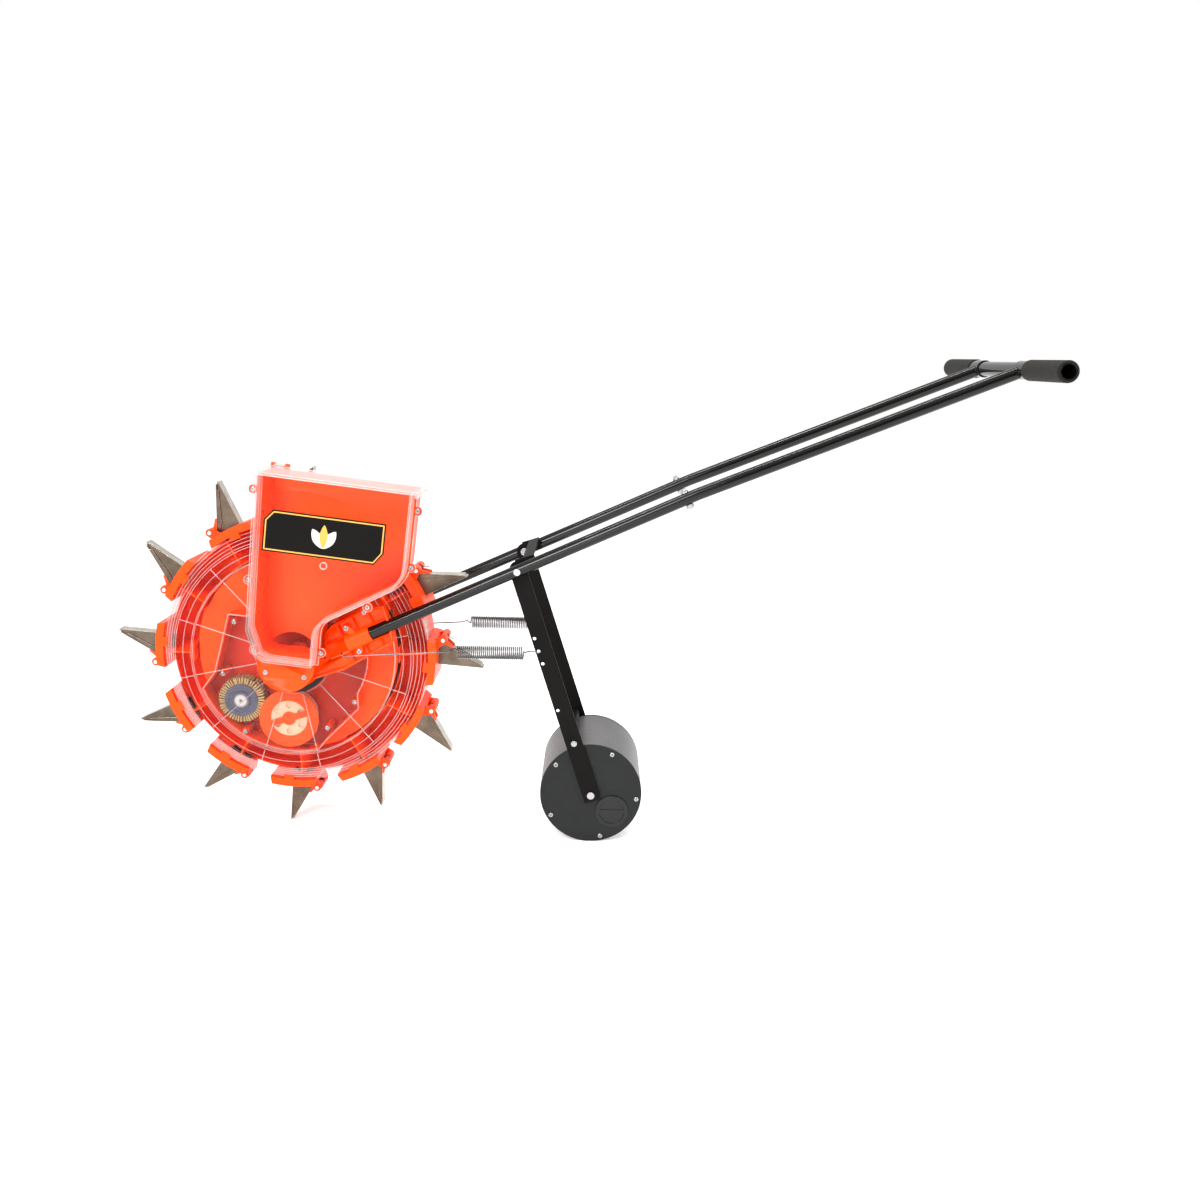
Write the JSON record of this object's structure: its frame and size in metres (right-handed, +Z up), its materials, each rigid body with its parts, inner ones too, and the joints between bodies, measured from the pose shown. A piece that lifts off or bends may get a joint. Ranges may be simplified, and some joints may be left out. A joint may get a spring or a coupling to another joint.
{
  "type": "push seeder",
  "caption": "Hand-pushed rolling seed planter: spiked duckbill wheel with a side hopper, geared metering roller and brush, twin-tube handle and a sprung press roller.",
  "frame": {"origin": "on the ground, under the middle of the machine's overall box", "axes": "+X from the wheel to the handle, +Y away from the hopper side, +Z up"},
  "size_m": [1.4312, 0.534, 0.7854],
  "materials": {
    "orange_plastic": "satin moulded plastic",
    "salmon_plastic": "satin moulded plastic",
    "clear_plastic": "clear, faintly pink",
    "lid_plastic": "clear",
    "black_plastic": "fine moulded grain",
    "grey_plastic": "moulded nylon",
    "blue_grey_plastic": "moulded",
    "bristle": "bristle tufts",
    "foam": "foamed rubber",
    "black_tube": "gloss black enamel",
    "black_plate": "satin black enamel",
    "roller_grey": "satin charcoal",
    "bill_steel": "dull plated sheet",
    "bare_steel": "turned",
    "spring_steel": "drawn wire",
    "zinc_screws": "bright zinc"
  },
  "bodies": {
    "root": {"axle": "bare_steel", "near_bracket": "orange_plastic", "far_bracket": "orange_plastic", "tube_saddles": "orange_plastic", "frame_screws": "zinc_screws", "hopper_back": "orange_plastic", "hopper_front": "clear_plastic", "meter_plate": "orange_plastic", "meter_cover": "clear_plastic", "lower_tubes": "black_tube", "upper_tubes": "black_tube", "frame_bolts": "zinc_screws", "handle_bar": "black_tube", "grips": "foam", "leg_springs": "spring_steel"},
    "wheel": {"back_shell": "orange_plastic", "clear_cover": "clear_plastic", "ring_gear": "orange_plastic", "hub_bush": "black_plastic", "bill_seats": "orange_plastic", "fixed_bills": "bill_steel", "hinge_pins": "bare_steel", "bill_springs": "spring_steel", "cover_screws": "zinc_screws"},
    "metering_roller": {"seed_roller": "orange_plastic", "roller_gear": "grey_plastic"},
    "cleaning_brush": {"brush_bristles": "bristle", "brush_hub": "blue_grey_plastic"},
    "leg": {"leg_arms": "black_plate", "leg_braces": "black_plate", "leg_bolts": "zinc_screws"},
    "press_roller": {"roller_drum": "roller_grey", "roller_caps": "black_plastic", "cap_screws": "zinc_screws"},
    "filler_plug": {"filler_plug": "black_plastic"},
    "hopper_lid": {"hopper_lid": "lid_plastic"},
    "bill_01": {"bill_lever_01": "salmon_plastic", "moving_bill_01": "bill_steel"},
    "bill_02": {"bill_lever_02": "salmon_plastic", "moving_bill_02": "bill_steel"},
    "bill_03": {"bill_lever_03": "salmon_plastic", "moving_bill_03": "bill_steel"},
    "bill_04": {"bill_lever_04": "salmon_plastic", "moving_bill_04": "bill_steel"},
    "bill_05": {"bill_lever_05": "salmon_plastic", "moving_bill_05": "bill_steel"},
    "bill_06": {"bill_lever_06": "salmon_plastic", "moving_bill_06": "bill_steel"},
    "bill_07": {"bill_lever_07": "salmon_plastic", "moving_bill_07": "bill_steel"},
    "bill_08": {"bill_lever_08": "salmon_plastic", "moving_bill_08": "bill_steel"},
    "bill_09": {"bill_lever_09": "salmon_plastic", "moving_bill_09": "bill_steel"},
    "bill_10": {"bill_lever_10": "salmon_plastic", "moving_bill_10": "bill_steel"},
    "bill_11": {"bill_lever_11": "salmon_plastic", "moving_bill_11": "bill_steel"},
    "bill_12": {"bill_lever_12": "salmon_plastic", "moving_bill_12": "bill_steel"}
  },
  "joints": [
    {"name": "wheel_spin", "type": "hinge", "parent": "root", "child": "wheel", "pos_m": [-0.41685, 0, 0.2988], "axis": [0, -1, 0], "continuous": true},
    {"name": "bill_01_open", "type": "hinge", "parent": "wheel", "child": "bill_01", "pos_m": [-0.22477, 0, 0.43521], "axis": [0, -1, 0], "range_deg": [0, 18], "stiffness_Nm_per_rad": 0.6, "springref_deg": -28.65},
    {"name": "bill_02_open", "type": "hinge", "parent": "wheel", "child": "bill_02", "pos_m": [-0.31871, 0, 0.51298], "axis": [0, -1, 0], "range_deg": [0, 18], "stiffness_Nm_per_rad": 0.6, "springref_deg": -28.65},
    {"name": "bill_03_open", "type": "hinge", "parent": "wheel", "child": "bill_03", "pos_m": [-0.43895, 0, 0.53336], "axis": [0, -1, 0], "range_deg": [0, 18], "stiffness_Nm_per_rad": 0.6, "springref_deg": -28.65},
    {"name": "bill_04_open", "type": "hinge", "parent": "wheel", "child": "bill_04", "pos_m": [-0.55327, 0, 0.49088], "axis": [0, -1, 0], "range_deg": [0, 18], "stiffness_Nm_per_rad": 0.6, "springref_deg": -28.65},
    {"name": "bill_05_open", "type": "hinge", "parent": "wheel", "child": "bill_05", "pos_m": [-0.63103, 0, 0.39694], "axis": [0, -1, 0], "range_deg": [0, 18], "stiffness_Nm_per_rad": 0.6, "springref_deg": -28.65},
    {"name": "bill_06_open", "type": "hinge", "parent": "wheel", "child": "bill_06", "pos_m": [-0.65141, 0, 0.2767], "axis": [0, -1, 0], "range_deg": [0, 18], "stiffness_Nm_per_rad": 0.6, "springref_deg": -28.65},
    {"name": "bill_07_open", "type": "hinge", "parent": "wheel", "child": "bill_07", "pos_m": [-0.60893, 0, 0.16238], "axis": [0, -1, 0], "range_deg": [0, 18], "stiffness_Nm_per_rad": 0.6, "springref_deg": -28.65},
    {"name": "bill_08_open", "type": "hinge", "parent": "wheel", "child": "bill_08", "pos_m": [-0.51499, 0, 0.08462], "axis": [0, -1, 0], "range_deg": [0, 18], "stiffness_Nm_per_rad": 0.6, "springref_deg": -28.65},
    {"name": "bill_09_open", "type": "hinge", "parent": "wheel", "child": "bill_09", "pos_m": [-0.39475, 0, 0.06424], "axis": [0, -1, 0], "range_deg": [0, 18], "stiffness_Nm_per_rad": 0.6, "springref_deg": -28.65},
    {"name": "bill_10_open", "type": "hinge", "parent": "wheel", "child": "bill_10", "pos_m": [-0.28043, 0, 0.10672], "axis": [0, -1, 0], "range_deg": [0, 18], "stiffness_Nm_per_rad": 0.6, "springref_deg": -28.65},
    {"name": "bill_11_open", "type": "hinge", "parent": "wheel", "child": "bill_11", "pos_m": [-0.20267, 0, 0.20066], "axis": [0, -1, 0], "range_deg": [0, 18], "stiffness_Nm_per_rad": 0.6, "springref_deg": -28.65},
    {"name": "bill_12_open", "type": "hinge", "parent": "wheel", "child": "bill_12", "pos_m": [-0.18229, 0, 0.3209], "axis": [0, -1, 0], "range_deg": [0, 18], "stiffness_Nm_per_rad": 0.6, "springref_deg": -28.65},
    {"name": "metering_roller_spin", "type": "hinge", "parent": "root", "child": "metering_roller", "pos_m": [-0.43095, -0.03, 0.19172], "axis": [0, -1, 0], "continuous": true},
    {"name": "brush_spin", "type": "hinge", "parent": "root", "child": "cleaning_brush", "pos_m": [-0.50783, -0.03, 0.22055], "axis": [0, -1, 0], "continuous": true},
    {"name": "leg_swing", "type": "hinge", "parent": "root", "child": "leg", "pos_m": [-0.05685, 0, 0.4513], "axis": [0, -1, 0], "range_deg": [0, 25], "stiffness_Nm_per_rad": 17, "springref_deg": -22.92, "deforming": ["leg_springs"]},
    {"name": "press_roller_spin", "type": "hinge", "parent": "leg", "child": "press_roller", "pos_m": [0.06255, 0, 0.0825], "axis": [0, -1, 0], "continuous": true},
    {"name": "filler_plug_turn", "type": "hinge", "parent": "press_roller", "child": "filler_plug", "pos_m": [0.09727, -0.082, 0.05232], "axis": [0, -1, 0], "range_deg": [0, 90]},
    {"name": "lid_open", "type": "hinge", "parent": "root", "child": "hopper_lid", "pos_m": [-0.38214, -0.066, 0.5988], "axis": [-0.9934, 0, 0.1149], "range_deg": [0, 100]}
  ],
  "couplings": [
    {"joint": "metering_roller_spin", "follows": "wheel_spin", "ratio": 4},
    {"joint": "brush_spin", "follows": "wheel_spin", "ratio": 6}
  ]
}
